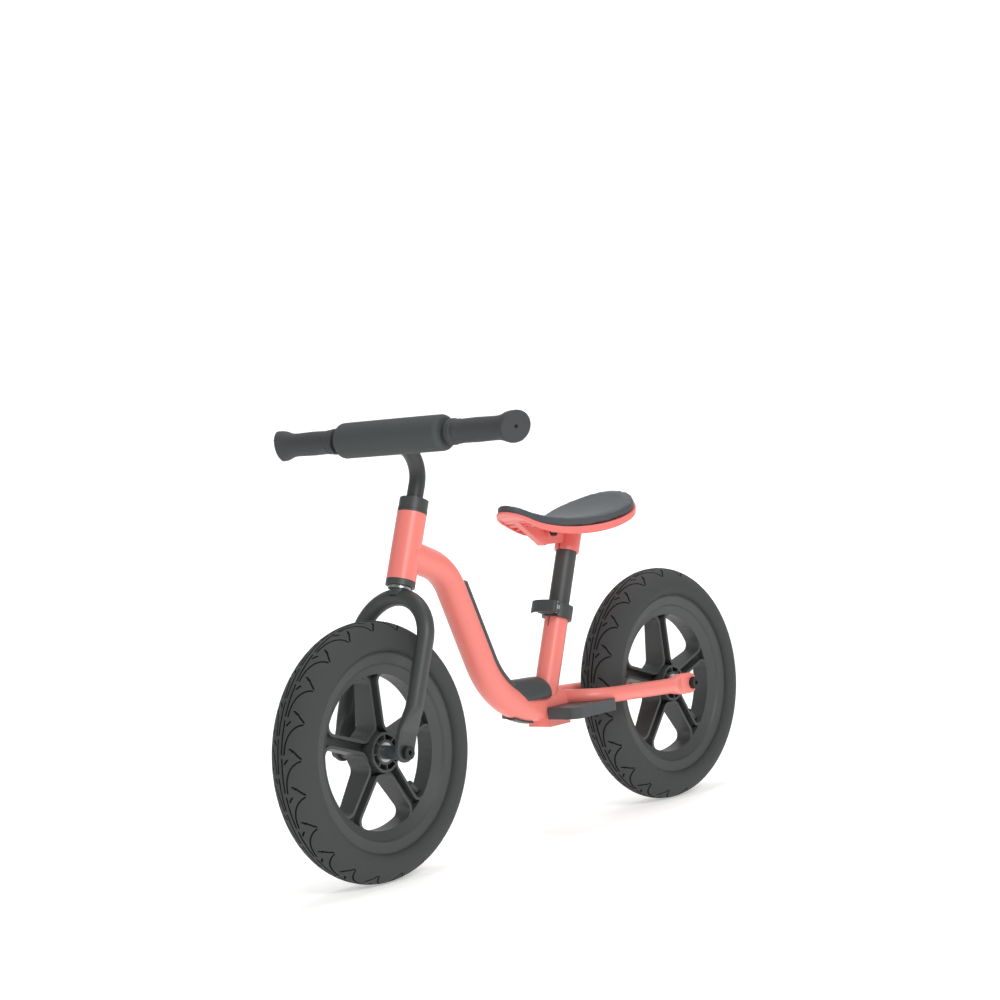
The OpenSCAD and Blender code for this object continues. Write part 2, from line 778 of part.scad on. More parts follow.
module seat_post() color(DARK) on_seat_axis() translate([0, 0, seat_tube_l - post_in])
    ring(post_r, post_r - tube_wall, socket_s + socket_h - 2 - seat_tube_l + post_in);

module post_plug() color(RUBBER) on_seat_axis() translate([0, 0, seat_tube_l - post_in - 2]) {
    cylinder(r = post_r - 0.2, h = 2);
    cylinder(r = post_r - tube_wall, h = 10);
}

// Pinch bolt that closes the socket round the post
module seat_bolt() color(DARK) on_seat_axis() translate([pinch_x, pinch_w / 2, pinch_s])
    rotate([-90, 0, 0]) difference() {
        union() {
            translate([0, 0, -pinch_w - 5]) cylinder(r = 3, h = pinch_w + 5);
            cylinder(r = 5, h = 4);
        }
        translate([0, 0, 1.5]) cylinder(r = 2.2, h = 4);
    }

module seat_bolt_nut() color(DARK) on_seat_axis() translate([pinch_x, -pinch_w / 2, pinch_s])
    across() ring(5, 3, 5);

// ---------------------------------------------------------------- wheels

// Half a section of the tyre's outer or inner face: the top and the fold above the rim
function carcass(shrink) = let (
    w = tyre_w / 2 - shrink,
    h = tyre_h - tyre_fold_r - shrink,
    fold = tyre_fold_r - shrink)
    concat(arc([crown_r, 0], h, w, 0, 90, 14), arc([crown_r, rim_half_w], fold, fold, 90, 180, 6));
function mirrored(points) = concat(points, [for (i = [len(points) - 1:-1:1]) [points[i][0], -points[i][1]]]);

bead_out = rim_half_w - 4.8;
bead_in = bead_out - 4;

module tyre_section() {
    polygon(mirrored(concat(carcass(0), [[rim_r, bead_out], [rim_r - bead_w + 2, bead_out],
        [rim_r - bead_w, bead_out - 2], [rim_r - bead_w, bead_in], [crown_r - 3, 0]])));
}

module tyre() color(RUBBER) across() rotate_extrude($fn = 96) difference() {
    tyre_section();
    polygon(mirrored(concat(carcass(tyre_wall), [[crown_r - tyre_fold_r + tyre_wall, bead_in],
        [rim_r - bead_w - past, bead_in]])));
}

module inner_tube() color(RUBBER) across() {
    rotate_extrude($fn = 96) difference() {
        inner_tube_section(tyre_wall + tube_gap, 0);
        inner_tube_section(tyre_wall + tube_gap + 1.5, 1.5);
    }
    rotate([0, 0, valve_angle]) translate([valve_tip_r + 4, 0, 0]) rotate([0, 90, 0])
        ring(valve_r, valve_r - 1.8, well_r - valve_tip_r - 3);
}

module inner_tube_section(shrink, neck) {
    polygon(mirrored(concat(carcass(shrink), [[crown_r - tyre_fold_r + shrink, bead_in - tube_gap - neck],
        [well_r + tube_gap + neck, bead_in - 3 * tube_gap - neck]])));
}

module valve_cap() color(DARK) across() rotate([0, 0, valve_angle]) translate([valve_tip_r, 0, 0])
    rotate([0, 90, 0]) difference() {
        cylinder(r = 4.4, h = 14);
        translate([0, 0, 4]) cylinder(r = valve_r, h = 14);
    }

// One window between two spokes, in the plane of the wheel
module window(grow = 0) {
    a = 360 / spokes;
    offset(r = 9 + grow) offset(delta = -9)
        intersection() {
            difference() {
                circle(window_r);
                circle(hub_r + 5);
            }
            translate([spoke_w / 2 / sin(a / 2), 0])
                polygon([[0, 0], [2 * wheel_r * cos(a / 2), -2 * wheel_r * sin(a / 2)], [2 * wheel_r, 0],
                    [2 * wheel_r * cos(a / 2), 2 * wheel_r * sin(a / 2)]]);
        }
}

module each_window() {
    for (i = [0:spokes - 1]) rotate([0, 0, 90 + 180 / spokes + i * 360 / spokes]) children();
}

module wheel_rim_section() {
    polygon(mirrored([[well_r, 0], [well_r, bead_in - 1], [rim_r - bead_w - 1.5, bead_in + 1],
        [rim_r - bead_w - 0.5, bead_out], [rim_r, bead_out], [rim_r, rim_half_w],
        [rim_r - 3, rim_half_w + 0.6], [crease_r, rim_half_w - 1], [crease_r - 2, rim_half_w - 3.5],
        [window_r - 0.5, 10.5], [window_r - 0.5, 0]]));
}

module wheel_web_section() {
    polygon([[0, 14], [hub_r + 8, 14], [crease_r, 10], [crease_r, -10], [hub_r + 8, -14], [0, -14]]);
}

// Wheel moulded in one piece: rim, spokes of two ribs with a web between, and hub
module wheel() color(DARK) across() difference() {
    union() {
        rotate_extrude($fn = 96) wheel_rim_section();
        intersection() {
            rotate_extrude($fn = 96) wheel_web_section();
            union() {
                translate([0, 0, -15]) linear_extrude(30) intersection() {
                    each_window() window(lip_t);
                    circle(well_r - 1);
                }
                translate([0, 0, -web_half_t]) cylinder(r = well_r - 1, h = 2 * web_half_t);
            }
        }
        cylinder(r = hub_r, h = hub_w, center = true);
    }
    translate([0, 0, -20]) linear_extrude(40) each_window() window();
    cylinder(r = axle_d / 2 + 4, h = hub_w + 2 * past, center = true);
    for (end = [0, 1]) mirror([0, 0, end]) {
        translate([0, 0, hub_w / 2 - bearing_w]) cylinder(r = bearing_d / 2, h = bearing_w + past);
        translate([0, 0, hub_w / 2 - slot_depth]) difference() {
            ring(slot_r, boss_r, slot_depth + past);
            for (i = [0:hub_ribs - 1]) rotate([0, 0, i * 360 / hub_ribs])
                translate([0, -0.8, -past]) cube([hub_r, 1.6, slot_depth + 3 * past]);
        }
    }
    rotate([0, 0, valve_angle]) translate([window_r - 8, 0, 0]) rotate([0, 90, 0])
        cylinder(r = valve_r + 0.3, h = wheel_r - window_r);
}

module bearings() color(STEEL) across() for (end = [0, 1]) mirror([0, 0, end])
    translate([0, 0, hub_w / 2 - bearing_w]) ring(bearing_d / 2, axle_d / 2 + run_gap, bearing_w);

module axle() color(STEEL) across() translate([0, 0, -dropout_in])
    ring(axle_d / 2, bolt_shank_r, 2 * dropout_in);

module spacers() color(DARK) across() for (end = [0, 1]) mirror([0, 0, end])
    translate([0, 0, hub_w / 2 + face_gap]) ring(spacer_r, axle_d / 2, dropout_in - hub_w / 2 - face_gap);

module axle_bolts() color(DARK) across() for (end = [0, 1]) mirror([0, 0, end])
    translate([0, 0, dropout_in + dropout_t]) difference() {
        union() {
            cylinder(r = bolt_head_d / 2, h = bolt_head_h);
            translate([0, 0, -bolt_shank_l]) cylinder(r = bolt_shank_r, h = bolt_shank_l);
        }
        translate([0, 0, bolt_head_h - 3]) cylinder(r = socket_r, h = 3 + past);
    }

head_tube();
main_tube();
seat_tube();
chainstays();
frame_bracket();
lower_cup();
upper_cup();
lower_bearing();
upper_bearing();
cover_strip();
saddle_cover();
cover_clip();
footrest_tray();
tray_screws();
seat_clamp();
clamp_bolt();
clamp_nut();
clamp_lever();
lever_pin();
fork_tube();
steerer();
crown_race();
top_ring();
stem_clamp();
stem_clamp_bolt();
stem_tube();
cross_bar();
bar_pad();
grip_left();
grip_right();
seat_post();
seat_shell();
seat_pad();
seat_bolt();
seat_bolt_nut();
post_plug();
at_front_axle() wheel();  // front_wheel
at_front_axle() tyre();  // front_tyre
at_front_axle() inner_tube();  // front_inner_tube
at_front_axle() valve_cap();  // front_valve_cap
at_front_axle() bearings();  // front_bearings
at_front_axle() axle();  // front_axle
at_front_axle() spacers();  // front_spacers
at_front_axle() axle_bolts();  // front_axle_bolts
at_rear_axle() wheel();  // rear_wheel
at_rear_axle() tyre();  // rear_tyre
at_rear_axle() inner_tube();  // rear_inner_tube
at_rear_axle() valve_cap();  // rear_valve_cap
at_rear_axle() bearings();  // rear_bearings
at_rear_axle() axle();  // rear_axle
at_rear_axle() spacers();  // rear_spacers
at_rear_axle() axle_bolts();  // rear_axle_bolts
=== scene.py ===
"""Looks of a child's balance bike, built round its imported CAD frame.

Lengths in the classes are millimetres, and angles are degrees. Everything that Blender
stores is in metres: +X forward, +Y to the rider's left, +Z up, origin on the ground.
"""

from __future__ import annotations

import json
import logging
import math
from collections.abc import Callable, Iterable, Sequence
from dataclasses import dataclass
from enum import Enum

import bmesh
import bpy
from mathutils import Matrix, Vector
from mathutils.geometry import delaunay_2d_cdt

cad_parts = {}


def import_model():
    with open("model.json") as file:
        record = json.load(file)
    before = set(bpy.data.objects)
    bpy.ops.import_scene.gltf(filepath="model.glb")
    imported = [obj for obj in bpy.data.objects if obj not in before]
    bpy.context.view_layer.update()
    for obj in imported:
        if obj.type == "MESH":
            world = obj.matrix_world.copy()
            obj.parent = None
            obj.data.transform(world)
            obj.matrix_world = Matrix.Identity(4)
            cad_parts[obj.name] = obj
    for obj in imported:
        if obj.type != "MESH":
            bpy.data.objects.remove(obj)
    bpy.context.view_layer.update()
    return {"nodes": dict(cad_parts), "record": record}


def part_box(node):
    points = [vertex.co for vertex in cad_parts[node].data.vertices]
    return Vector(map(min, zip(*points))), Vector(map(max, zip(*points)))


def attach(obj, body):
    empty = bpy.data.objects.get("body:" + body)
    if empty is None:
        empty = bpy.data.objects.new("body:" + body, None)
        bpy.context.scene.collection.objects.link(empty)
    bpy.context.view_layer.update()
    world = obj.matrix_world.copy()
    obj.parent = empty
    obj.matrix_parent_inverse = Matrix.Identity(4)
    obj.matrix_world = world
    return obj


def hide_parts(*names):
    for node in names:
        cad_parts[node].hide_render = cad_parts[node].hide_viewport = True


MM = 0.001
LOG = logging.getLogger("balance_bike")

Socket = bpy.types.NodeSocket
Tree = bpy.types.NodeTree


class End(Enum):
    """The two wheels of the bike, by the start of their CAD nodes' names."""

    FRONT = "front"
    REAR = "rear"


class Side(Enum):
    """The two sides of the bike, as the sign of Y."""

    LEFT = 1
    RIGHT = -1


# ---------------------------------------------------------------- finishes


def linear(code: str) -> tuple[float, float, float, float]:
    """Turns an sRGB hex colour to linear RGBA.

    Args:
        code: Colour such as "#F3837A".

    Returns:
        Red, green, blue and alpha from 0 to 1.
    """
    parts = [int(code[i : i + 2], 16) / 255 for i in (1, 3, 5)]
    red, green, blue = (
        p / 12.92 if p <= 0.04045 else ((p + 0.055) / 1.055) ** 2.4 for p in parts
    )
    return red, green, blue, 1.0


def node(
    tree: Tree,
    kind: str,
    inputs: dict[str | int, object] | None = None,
    **settings: object,
) -> bpy.types.Node:
    """Adds a shader node with its settings, values and links.

    Args:
        tree: Node tree that gets the node.
        kind: Blender's name of the node type.
        inputs: Socket name or number to a value, or to the output socket that feeds it.
        settings: The node's own properties.

    Returns:
        The new node.
    """
    made = tree.nodes.new(kind)
    for name, value in settings.items():
        setattr(made, name, value)
    for key, value in (inputs or {}).items():
        if isinstance(value, Socket):
            tree.links.new(value, made.inputs[key])
        else:
            made.inputs[key].default_value = value
    return made


@dataclass(frozen=True)
class Grain:
    """Relief of a surface, from a noise or a cell pattern of a real size."""

    size: float  # width of one grain
    height: float  # relief of the pattern
    cells: bool = False  # leather-like or foam-like cells in place of noise
    stretch: tuple[float, float, float] = (1.0, 1.0, 1.0)


@dataclass(frozen=True)
class Finish:
    """A real surface, or a painted shade: its base colour, a second tone that clouds it, its gloss
    and its grain.
    """

    CLOUD_DETAIL = 4.0  # octaves of the clouds' noise
    CLOUD_BREAKUP = 0.6  # how much each octave adds
    GRAIN_DETAIL = 3.0  # octaves of the grain's noise

    name: str
    colour: str
    tone: str
    roughness: float
    spread: float  # how far the roughness wanders
    grain: Grain
    cloud: float = 60.0  # width of the clouds of the second tone
    ior: float = 1.5
    metallic: float = 0.0
    coat: float = 0.0
    coat_roughness: float = 0.25
    sheen: float = 0.0
    glow: float = 0.0

    def build(self) -> bpy.types.Material:
        """Makes the material, or gives the one that is already made."""
        ready = bpy.data.materials.get(self.name)
        if ready:
            return ready
        material = bpy.data.materials.new(self.name)
        material.use_nodes = True
        tree = material.node_tree
        tree.nodes.clear()
        place = node(tree, "ShaderNodeTexCoord").outputs["Object"]
        clouds = node(
            tree,
            "ShaderNodeTexNoise",
            {
                "Vector": place,
                "Scale": 1 / (self.cloud * MM),
                "Detail": self.CLOUD_DETAIL,
                "Roughness": self.CLOUD_BREAKUP,
            },
        )
        colour = node(
            tree,
            "ShaderNodeMix",
            {0: clouds.outputs[0], 6: linear(self.colour), 7: linear(self.tone)},
            data_type="RGBA",
        )
        smoothest, roughest = self.roughness - self.spread, self.roughness + self.spread
        gloss = node(
            tree, "ShaderNodeMapRange", {0: clouds.outputs[0], 3: smoothest, 4: roughest}
        )
        shader = node(
            tree,
            "ShaderNodeBsdfPrincipled",
            {
                "Base Color": colour.outputs[2],
                "Roughness": gloss.outputs[0],
                "Metallic": self.metallic,
                "IOR": self.ior,
                "Coat Weight": self.coat,
                "Coat Roughness": self.coat_roughness,
                "Sheen Weight": self.sheen,
                "Emission Color": linear(self.colour),
                "Emission Strength": self.glow,
                "Normal": self.relief(tree, place),
            },
        )
        node(tree, "ShaderNodeOutputMaterial", {"Surface": shader.outputs[0]})
        return material

    def relief(self, tree: Tree, place: Socket) -> Socket:
        """Adds the grain as a bump.

        Args:
            tree: The material's tree.
            place: Object coordinates.

        Returns:
            The bent normal.
        """
        stretched = node(
            tree, "ShaderNodeMapping", {"Vector": place, "Scale": self.grain.stretch}
        )
        inputs = {"Vector": stretched.outputs[0], "Scale": 1 / (self.grain.size * MM)}
        if self.grain.cells:
            pattern = node(tree, "ShaderNodeTexVoronoi", inputs, feature="SMOOTH_F1")
        else:
            inputs["Detail"] = self.GRAIN_DETAIL
            pattern = node(tree, "ShaderNodeTexNoise", inputs)
        bump = node(
            tree,
            "ShaderNodeBump",
            {
                "Height": pattern.outputs[0],
                "Distance": self.grain.height * MM,
                "Strength": 1.0,
            },
        )
        return bump.outputs[0]


# Polyester powder coat on steel: satin, with a faint orange peel about 2 mm wide
CORAL_POWDER_COAT = Finish(
    "coral_powder_coat", "#F3857B", "#F08177", 0.40, 0.04, Grain(2.2, 0.012), coat=0.15
)
# The same coat in graphite, with a finer and drier texture
GRAPHITE_POWDER_COAT = Finish(
    "graphite_powder_coat", "#424544", "#3E4140", 0.46, 0.05, Grain(1.4, 0.014)
)
# Glass-filled nylon, injection moulded: matte spark-eroded grain, drawn at 1.3 mm so that it shows
MOULDED_NYLON = Finish(
    "moulded_nylon", "#424544", "#3D403F", 0.52, 0.05, Grain(1.3, 0.02), ior=1.53
)
# Polypropylene covers, a little smoother than the nylon
COVER_POLYPROPYLENE = Finish(
    "cover_polypropylene", "#454A4B", "#404446", 0.44, 0.05, Grain(1.2, 0.014), ior=1.49
)
# Seat shell: polypropylene moulded in coral with a semi-gloss tool finish
CORAL_POLYPROPYLENE = Finish(
    "coral_polypropylene", "#F0807A", "#EA7770", 0.33, 0.04, Grain(2.5, 0.010), ior=1.49
)
# Tyre: natural rubber with carbon black, dull, with the mould's fine matte texture
TYRE_RUBBER = Finish(
    "tyre_rubber", "#4B4E4D", "#434645", 0.64, 0.06, Grain(0.9, 0.025), cloud=40.0, ior=1.52
)
# Painted shade: near-black rubber on the walls and floors of the tread's grooves, which light
# hardly reaches, and on the inner tubes, which it doesn't
GROOVE_PAINTED_SHADE = Finish(
    "groove_rubber", "#0B0B0B", "#080808", 0.9, 0.03, Grain(0.9, 0.02), cloud=40.0, ior=1.52
)
# Thermoplastic rubber of the grips, matte with a soft hand
GRIP_RUBBER = Finish(
    "grip_rubber", "#484C4D", "#424647", 0.56, 0.05, Grain(0.8, 0.03), cloud=30.0
)
# Closed-cell foam with a smooth skin: fine cells and a faint sheen
PAD_FOAM = Finish(
    "pad_foam", "#4C5152", "#474B4D", 0.72, 0.05, Grain(1.5, 0.05, cells=True),
    cloud=35.0, sheen=0.12,
)
# Integral-skin polyurethane of the seat pad, grained like leather
SEAT_SKIN = Finish(
    "seat_skin", "#4A4F53", "#43484C", 0.52, 0.05, Grain(1.8, 0.06, cells=True), cloud=35.0
)
# Zinc-plated steel: metal with fine lines along the drawing
ZINC_STEEL = Finish(
    "zinc_steel", "#B7BABC", "#A3A7AA", 0.34, 0.08, Grain(0.8, 0.01, stretch=(1, 12, 1)),
    metallic=1.0,
)
# Black oxide on steel: dark and slightly oily
BLACK_OXIDE = Finish(
    "black_oxide", "#2A2C2D", "#222425", 0.42, 0.06, Grain(1.0, 0.01), metallic=0.4
)
# Studio paper, lit from behind so that it stays white far from the lights
PALE_FLOOR = Finish(
    "pale_floor", "#F7F7F6", "#F4F4F3", 0.8, 0.03, Grain(8.0, 0.01), cloud=500.0, glow=0.45
)


def dress(piece: bpy.types.Object, *finishes: Finish) -> bpy.types.Object:
    """Gives a piece its materials, in the order of its faces' material numbers."""
    if piece.data.materials:
        piece.data.materials.clear()
    for finish in finishes:
        piece.data.materials.append(finish.build())
    return piece


# ---------------------------------------------------------------- mesh helpers

CAD_MERGE = 0.002  # corners of a CAD mesh's loose triangles join within this
SMOOTHING = 0.5  # share of the way to its neighbours that a round moves a point
SWELL_ROUNDS = 8  # rounds of smoothing before a pad swells
SWELL_FRAMES = 20
CLOTH_QUALITY = 4  # steps of the cloth in a frame


def shade_smooth(data: bpy.types.Mesh) -> None:
    """Shades every face of a mesh smooth."""
    data.polygons.foreach_set("use_smooth", [True] * len(data.polygons))


def add_piece(name: str, mesh: bmesh.types.BMesh, sharp: float = 35.0) -> bpy.types.Object:
    """Turns a bmesh into a smooth-shaded object whose place is in its mesh.

    Args:
        name: The piece's name.
        mesh: The shape, which is freed.
        sharp: Angle above which an edge stays sharp.

    Returns:
        The new object.
    """
    data = bpy.data.meshes.new(name)
    mesh.to_mesh(data)
    mesh.free()
    piece = bpy.data.objects.new(name, data)
    bpy.context.scene.collection.objects.link(piece)
    shade_smooth(data)
    data.set_sharp_from_angle(angle=math.radians(sharp))
    return piece


def closed_profile(
    mesh: bmesh.types.BMesh, points: Iterable[Sequence[float]]
) -> bmesh.types.BMFace:
    """Adds a flat face through points, as the section that a spin sweeps."""
    return mesh.faces.new([mesh.verts.new(Vector(p) * MM) for p in points])


def arc_points(
    centre: tuple[float, float], radius: tuple[float, float], start: float, end: float, steps: int
) -> list[tuple[float, float]]:
    """Points on an elliptic arc in a plane.

    Args:
        centre: Middle of the arc.
        radius: Radii along the two axes.
        start: First angle.
        end: Last angle.
        steps: Number of steps between them.

    Returns:
        steps + 1 points.
    """
    angles = [math.radians(start + (end - start) * i / steps) for i in range(steps + 1)]
    (x, y), (wide, high) = centre, radius
    return [(x + wide * math.cos(a), y + high * math.sin(a)) for a in angles]


def copy_of_node(name: str, new_name: str) -> bpy.types.Object:
    """Copies a CAD node's mesh, merges its loose triangles and drops its sealed inner shells.

    Args:
        name: The CAD node.
        new_name: Name of the copy.

    Returns:
        The copy, as a closed mesh.
    """
    mesh = bmesh.new()
    mesh.from_mesh(bpy.data.objects[name].data)
    bmesh.ops.remove_doubles(mesh, verts=mesh.verts, dist=CAD_MERGE * MM)
    left = set(mesh.faces)
    hidden: list[bmesh.types.BMFace] = []
    while left:
        island, queue = set(), [left.pop()]
        while queue:
            face = queue.pop()
            island.add(face)
            near = {other for edge in face.edges for other in edge.link_faces} & left
            left -= near
            queue.extend(near)
        volume = sum(f.calc_center_median().dot(f.normal) * f.calc_area() for f in island)
        if volume < 0:
            hidden.extend(island)
    bmesh.ops.delete(mesh, geom=hidden, context="FACES")
    return add_piece(new_name, mesh)


def apply_modifiers(piece: bpy.types.Object) -> None:
    """Bakes a piece's modifiers into its mesh."""
    graph = bpy.context.evaluated_depsgraph_get()
    baked = bpy.data.meshes.new_from_object(piece.evaluated_get(graph))
    piece.modifiers.clear()
    piece.data = baked


def soften(piece: bpy.types.Object, voxel: float, rounds: int) -> bpy.types.Object:
    """Rounds every edge of a closed piece as a mould or a press leaves it.

    Args:
        piece: The closed piece.
        voxel: Size of the remesh's cells.
        rounds: Rounds of smoothing.

    Returns:
        The same piece.
    """
    remesh = piece.modifiers.new("remesh", "REMESH")
    remesh.mode, remesh.voxel_size, remesh.use_smooth_shade = "VOXEL", voxel * MM, True
    smooth = piece.modifiers.new("smooth", "SMOOTH")
    smooth.factor, smooth.iterations = SMOOTHING, rounds
    apply_modifiers(piece)
    shade_smooth(piece.data)
    return piece


def swell(piece: bpy.types.Object, voxel: float, pressure: float, cap: float) -> bpy.types.Object:
    """Inflates a soft piece with cloth under pressure, and limits how far a point moves.

    Args:
        piece: The closed piece.
        voxel: Size of the remesh's cells.
        pressure: Pressure inside the cloth.
        cap: Most that a point may move.

    Returns:
        The same piece, crowned.
    """
    soften(piece, voxel, SWELL_ROUNDS)
    before = [v.co.copy() for v in piece.data.vertices]
    cloth = piece.modifiers.new("cloth", "CLOTH")
    cloth.settings.use_pressure = True
    cloth.settings.uniform_pressure_force = pressure
    cloth.settings.effector_weights.gravity = 0.0
    cloth.settings.quality = CLOTH_QUALITY
    scene = bpy.context.scene
    for step in range(1, SWELL_FRAMES + 1):
        scene.frame_set(step)
    apply_modifiers(piece)
    scene.frame_set(1)
    for vertex, start in zip(piece.data.vertices, before):
        move = vertex.co - start
        if move.length > cap * MM:
            vertex.co = start + move.normalized() * cap * MM
    finer = piece.modifiers.new("finer", "SUBSURF")
    finer.levels = finer.render_levels = 1
    apply_modifiers(piece)
    shade_smooth(piece.data)
    return piece


# ---------------------------------------------------------------- tyres


@dataclass(frozen=True)
class Groove:
    """One groove of the tread, as its middle line and its width.

    A point of the line is a share of a pitch and a distance from the crown.
    """

    points: tuple[tuple[float, float], ...]
    width: float


@dataclass
class TyreTread:
    """A tyre with a moulded tread: one tile of grooves, repeated round both sides."""

    end: End
    radius: float = 146.0
    half_width: float = 28.0
    height: float = 34.0
    fold: float = 7.5
    repeats: int = 22
    depth: float = 1.9
    columns: int = 10  # grid columns in a tile
    phase: float = 0.45  # turn of the pattern, in tiles

    GROOVES = (
        Groove(((0.05, 2.6), (0.35, 2.8), (0.65, 2.9), (0.93, 3.0)), 1.9),
        Groove(
            (
                (0.04, 6.0), (0.20, 6.4), (0.37, 7.6), (0.53, 9.8),
                (0.66, 12.8), (0.76, 16.4), (0.83, 20.4), (0.87, 24.6),
            ),
            1.9,
        ),
        Groove(((0.93, 25.2), (1.00, 22.0), (1.08, 18.8), (1.155, 16.0)), 2.0),
        Groove(((1.12, 15.6), (1.18, 13.9), (1.19, 12.0)), 2.0),
        Groove(((0.80, 6.3), (0.86, 8.0), (0.91, 10.2)), 2.2),
    )
    JOG = ((0.0, 8.5), (0.3, 9.5))  # where a tile's edge steps round the grooves
    JOG_STEPS = ((0.1, 8.83), (0.2, 9.17))  # points of the edge between the two
    EDGE_ROWS = (0.0, 2.8, 5.6)  # points of the edge before the step
    CROWN_ROWS = (2.8, 5.6, 7.2)  # grid rows before the step
    WALL_ROWS = 14  # grid rows from the step to the rim
    EDGE_MARGIN = 0.5  # grid points stay this far from a tile's edge
    GROOVE_MARGIN = 2.2  # and this far from the middle of a groove
    GROOVE_STEPS = 6  # closely set points in each stretch of a groove
    JOIN = 1e-4  # distance at which the triangulation joins points
    TILE_MERGE = 0.02  # distance at which tiles join
    TOP_LIMIT = -0.1  # a groove's lid lies above this
    WALL_LIMIT = -0.5  # a groove's walls and floor reach below this

    def __post_init__(self) -> None:
        """Measures the half section from the crown to the rim along its curve."""
        crown = self.radius - self.height + self.fold
        rim_half = self.half_width - self.fold
        top = arc_points((crown, 0), (self.radius - crown, self.half_width), 0, 90, 60)
        low = arc_points((crown, rim_half), (self.fold, self.fold), 90, 180, 20)
        self.section = top + low[1:]
        self.lengths = [0.0]
        for a, b in zip(self.section, self.section[1:]):
            self.lengths.append(self.lengths[-1] + math.dist(a, b))

    @property
    def pitch(self) -> float:
        """Length of one tile along the crown."""
        return 2 * math.pi * self.radius / self.repeats

    def on_section(self, reach: float) -> tuple[float, float, float, float]:
        """Finds a point of the half section.

        Args:
            reach: Distance from the crown along the curve.

        Returns:
            Radius and Y of the point, then radius and Y of the outward normal.
        """
        i = 0
        while i < len(self.lengths) - 2 and self.lengths[i + 1] < reach:
            i += 1
        (r0, y0), (r1, y1) = self.section[i], self.section[i + 1]
        span = self.lengths[i + 1] - self.lengths[i]
        t = min(1.0, (reach - self.lengths[i]) / span)
        return r0 + (r1 - r0) * t, y0 + (y1 - y0) * t, (y1 - y0) / span, (r0 - r1) / span

    def outline(self, groove: Groove) -> list[Vector]:
        """Closed outline of a groove in the flat tile, with rounded ends."""
        line = [Vector((u * self.pitch, v)) for u, v in groove.points]
        ahead = [(b - a).normalized() for a, b in zip(line, line[1:])]
        along = [ahead[0]] + [(a + b).normalized() for a, b in zip(ahead, ahead[1:])] + [ahead[-1]]
        across = [Vector((-d.y, d.x)) * groove.width / 2 for d in along]
        left = [p + n for p, n in zip(line, across)]
        right = [p - n for p, n in zip(line, across)]
        tip = line[-1] + along[-1] * groove.width / 2
        tail = line[0] - along[0] * groove.width / 2
        return right + [tip] + left[::-1] + [tail]

    def tile(self) -> bmesh.types.BMesh:
        """Makes one half tile, flat, with its grooves sunk below Z = 0."""
        pitch, deep = self.pitch, self.lengths[-1]
        (_, near), (ahead, far) = self.JOG
        rows = [far + (deep - far) * i / self.WALL_ROWS for i in range(self.WALL_ROWS + 1)]
        edge = [Vector((0.0, v)) for v in (*self.EDGE_ROWS, near)]
        edge += [Vector((pitch * u, v)) for u, v in self.JOG_STEPS]
        edge += [Vector((pitch * ahead, v)) for v in rows]
        shift = Vector((pitch, 0.0))
        step = pitch / self.columns
        low = [Vector((step * i, 0.0)) for i in range(1, self.columns)]
        high = [Vector((pitch * ahead + step * i, deep)) for i in range(1, self.columns)]
        border = low + [p + shift for p in edge] + high[::-1] + edge[::-1]
        points, loops = list(border), [list(range(len(border)))]
        for groove in self.GROOVES:
            ring = self.outline(groove)
            loops.append([len(points) + i for i in range(len(ring))])
            points += ring
        centres = [Vector((u * pitch, v)) for g in self.GROOVES for u, v in self.dense(g)]
        for i in range(1, self.columns):
            for v in [*self.CROWN_ROWS, *rows[:-1]]:
                start = 0.0 if v < near else pitch * ahead
                p = Vector((start + step * i, v))
                inside = start + self.EDGE_MARGIN < p.x < start + pitch - self.EDGE_MARGIN
                if inside and all((p - c).length > self.GROOVE_MARGIN for c in centres):
                    points.append(p)
        inside_only = 1
        verts, _, faces, _, _, origin = delaunay_2d_cdt(
            points, [], loops, inside_only, self.JOIN
        )
        mesh = bmesh.new()
        made = [mesh.verts.new((v.x, v.y, 0.0)) for v in verts]
        sunk = []
        for face, sources in zip(faces, origin):
            new = mesh.faces.new([made[i] for i in face])
            if any(s > 0 for s in sources):
                sunk.append(new)
        grown = bmesh.ops.extrude_face_region(mesh, geom=sunk)["geom"]
        floor = [g for g in grown if isinstance(g, bmesh.types.BMVert)]
        bmesh.ops.translate(mesh, vec=(0, 0, -self.depth), verts=floor)
        lids = [f for f in sunk if f.is_valid and f.verts[0].co.z > self.TOP_LIMIT]
        bmesh.ops.delete(mesh, geom=lids, context="FACES_ONLY")
        # Faces of the groove walls and floors take material 1, the near-black painted shade.
        for face in mesh.faces:
            face.material_index = int(any(v.co.z < self.WALL_LIMIT for v in face.verts))
        return mesh

    def dense(self, groove: Groove) -> list[tuple[float, float]]:
        """Points close together along a groove's line."""
        steps = self.GROOVE_STEPS
        out = []
        for (u0, v0), (u1, v1) in zip(groove.points, groove.points[1:]):
            for i in range(steps + 1):
                out.append((u0 + (u1 - u0) * i / steps, v0 + (v1 - v0) * i / steps))
        return out

